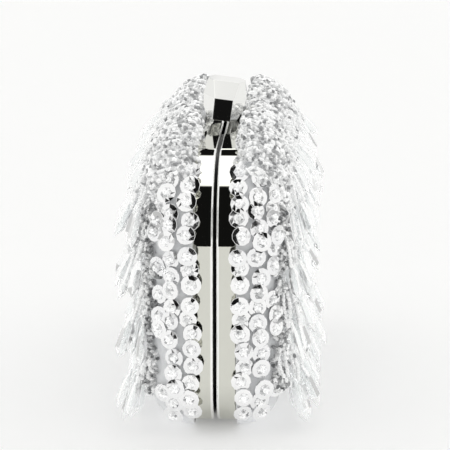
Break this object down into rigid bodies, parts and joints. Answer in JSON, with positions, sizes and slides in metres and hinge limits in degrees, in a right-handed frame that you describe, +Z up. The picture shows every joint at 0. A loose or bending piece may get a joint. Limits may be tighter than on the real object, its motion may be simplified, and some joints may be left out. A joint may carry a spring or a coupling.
{
  "type": "evening bag",
  "caption": "Hard-case evening bag: two frame-edged half shells hinged at the bottom, faceted press clasp on top, sequinned ends, faces hung with bead fringe and clear drops.",
  "frame": {"origin": "on the surface the bag stands on, under the middle of the bag", "axes": "+X along the bag's length, +Y through it towards the back half, +Z up towards the clasp"},
  "size_m": [0.1768, 0.0764, 0.1157],
  "materials": {
    "chrome_frame": "mirror-polished nickel-chrome plating",
    "chrome_clasp": "mirror-polished facets",
    "dark_lip": "blackened strip",
    "plated_steel": "nickel-plated stampings",
    "spring_steel": "bright spring wire",
    "shell_board": "pressed sheet, unpainted",
    "satin_cover": "lavender-grey satin",
    "satin_lining": "silver-grey satin",
    "sequin": "metallised silver, faceted cups",
    "crystal_beads": "clear cut crystal",
    "seed_beads": "silver-lined clear glass",
    "clear_drops": "clear faceted crystal"
  },
  "bodies": {
    "back_half": {"back_frame": "chrome_frame", "closing_lip": "dark_lip", "back_shell": "shell_board", "back_cover": "satin_cover", "back_lining": "satin_lining", "back_pocket": "satin_lining", "hinge_leaf_back": "plated_steel", "hinge_pin": "plated_steel", "hinge_rivets_back": "plated_steel", "latch_housing": "plated_steel", "housing_rivets": "plated_steel", "back_sequins": "sequin", "back_sequin_beads": "crystal_beads", "back_shoulder_beads": "seed_beads", "back_corner_beads": "seed_beads"},
    "front_half": {"front_frame": "chrome_frame", "front_shell": "shell_board", "front_cover": "satin_cover", "front_lining": "satin_lining", "hinge_leaf_front": "plated_steel", "hinge_rivets_front": "plated_steel", "strike_plate": "plated_steel", "strike_rivets": "plated_steel", "front_sequins": "sequin", "front_sequin_beads": "crystal_beads", "front_shoulder_beads": "seed_beads", "front_corner_beads": "seed_beads"},
    "clasp": {"clasp_knob": "chrome_clasp", "clasp_stem": "plated_steel", "latch_hook": "plated_steel", "latch_spring": "spring_steel"},
    "back_tier_1": {"back_fringe_1": "seed_beads", "back_drops_1": "clear_drops"},
    "back_tier_2": {"back_fringe_2": "seed_beads", "back_drops_2": "clear_drops"},
    "back_tier_3": {"back_fringe_3": "seed_beads", "back_drops_3": "clear_drops"},
    "back_tier_4": {"back_fringe_4": "seed_beads", "back_drops_4": "clear_drops"},
    "back_tier_5": {"back_fringe_5": "seed_beads", "back_drops_5": "clear_drops"},
    "front_tier_1": {"front_fringe_1": "seed_beads", "front_drops_1": "clear_drops"},
    "front_tier_2": {"front_fringe_2": "seed_beads", "front_drops_2": "clear_drops"},
    "front_tier_3": {"front_fringe_3": "seed_beads", "front_drops_3": "clear_drops"},
    "front_tier_4": {"front_fringe_4": "seed_beads", "front_drops_4": "clear_drops"},
    "front_tier_5": {"front_fringe_5": "seed_beads", "front_drops_5": "clear_drops"}
  },
  "joints": [
    {"name": "shell_open", "type": "hinge", "parent": "back_half", "child": "front_half", "pos_m": [0, 0, 0.0016], "axis": [1, 0, 0], "range_deg": [0, 85]},
    {"name": "clasp_press", "type": "slide", "parent": "back_half", "child": "clasp", "axis": [0, 0, -1], "range_m": [0, 0.0018], "stiffness_N_per_m": 800, "springref_m": -0.0015, "deforming": ["latch_spring"]},
    {"name": "back_fringe_swing_1", "type": "hinge", "parent": "back_half", "child": "back_tier_1", "pos_m": [0, 0.02137, 0.09837], "axis": [1, 0, 0], "range_deg": [0, 20]},
    {"name": "back_fringe_swing_2", "type": "hinge", "parent": "back_half", "child": "back_tier_2", "pos_m": [0, 0.0233, 0.091], "axis": [1, 0, 0], "range_deg": [0, 20]},
    {"name": "back_fringe_swing_3", "type": "hinge", "parent": "back_half", "child": "back_tier_3", "pos_m": [0, 0.0233, 0.072], "axis": [1, 0, 0], "range_deg": [0, 20]},
    {"name": "back_fringe_swing_4", "type": "hinge", "parent": "back_half", "child": "back_tier_4", "pos_m": [0, 0.0233, 0.053], "axis": [1, 0, 0], "range_deg": [0, 20]},
    {"name": "back_fringe_swing_5", "type": "hinge", "parent": "back_half", "child": "back_tier_5", "pos_m": [0, 0.0233, 0.034], "axis": [1, 0, 0], "range_deg": [0, 20]},
    {"name": "front_fringe_swing_1", "type": "hinge", "parent": "front_half", "child": "front_tier_1", "pos_m": [0, -0.02137, 0.09837], "axis": [-1, 0, 0], "range_deg": [0, 20]},
    {"name": "front_fringe_swing_2", "type": "hinge", "parent": "front_half", "child": "front_tier_2", "pos_m": [0, -0.0233, 0.091], "axis": [-1, 0, 0], "range_deg": [0, 20]},
    {"name": "front_fringe_swing_3", "type": "hinge", "parent": "front_half", "child": "front_tier_3", "pos_m": [0, -0.0233, 0.072], "axis": [-1, 0, 0], "range_deg": [0, 20]},
    {"name": "front_fringe_swing_4", "type": "hinge", "parent": "front_half", "child": "front_tier_4", "pos_m": [0, -0.0233, 0.053], "axis": [-1, 0, 0], "range_deg": [0, 20]},
    {"name": "front_fringe_swing_5", "type": "hinge", "parent": "front_half", "child": "front_tier_5", "pos_m": [0, -0.0233, 0.034], "axis": [-1, 0, 0], "range_deg": [0, 20]}
  ],
  "couplings": [
    {"joint": "back_fringe_swing_1", "follows": "back_fringe_swing_3", "ratio": 1},
    {"joint": "back_fringe_swing_2", "follows": "back_fringe_swing_3", "ratio": 1},
    {"joint": "back_fringe_swing_4", "follows": "back_fringe_swing_3", "ratio": 1},
    {"joint": "back_fringe_swing_5", "follows": "back_fringe_swing_3", "ratio": 1},
    {"joint": "front_fringe_swing_1", "follows": "front_fringe_swing_3", "ratio": 1},
    {"joint": "front_fringe_swing_2", "follows": "front_fringe_swing_3", "ratio": 1},
    {"joint": "front_fringe_swing_4", "follows": "front_fringe_swing_3", "ratio": 1},
    {"joint": "front_fringe_swing_5", "follows": "front_fringe_swing_3", "ratio": 1}
  ]
}
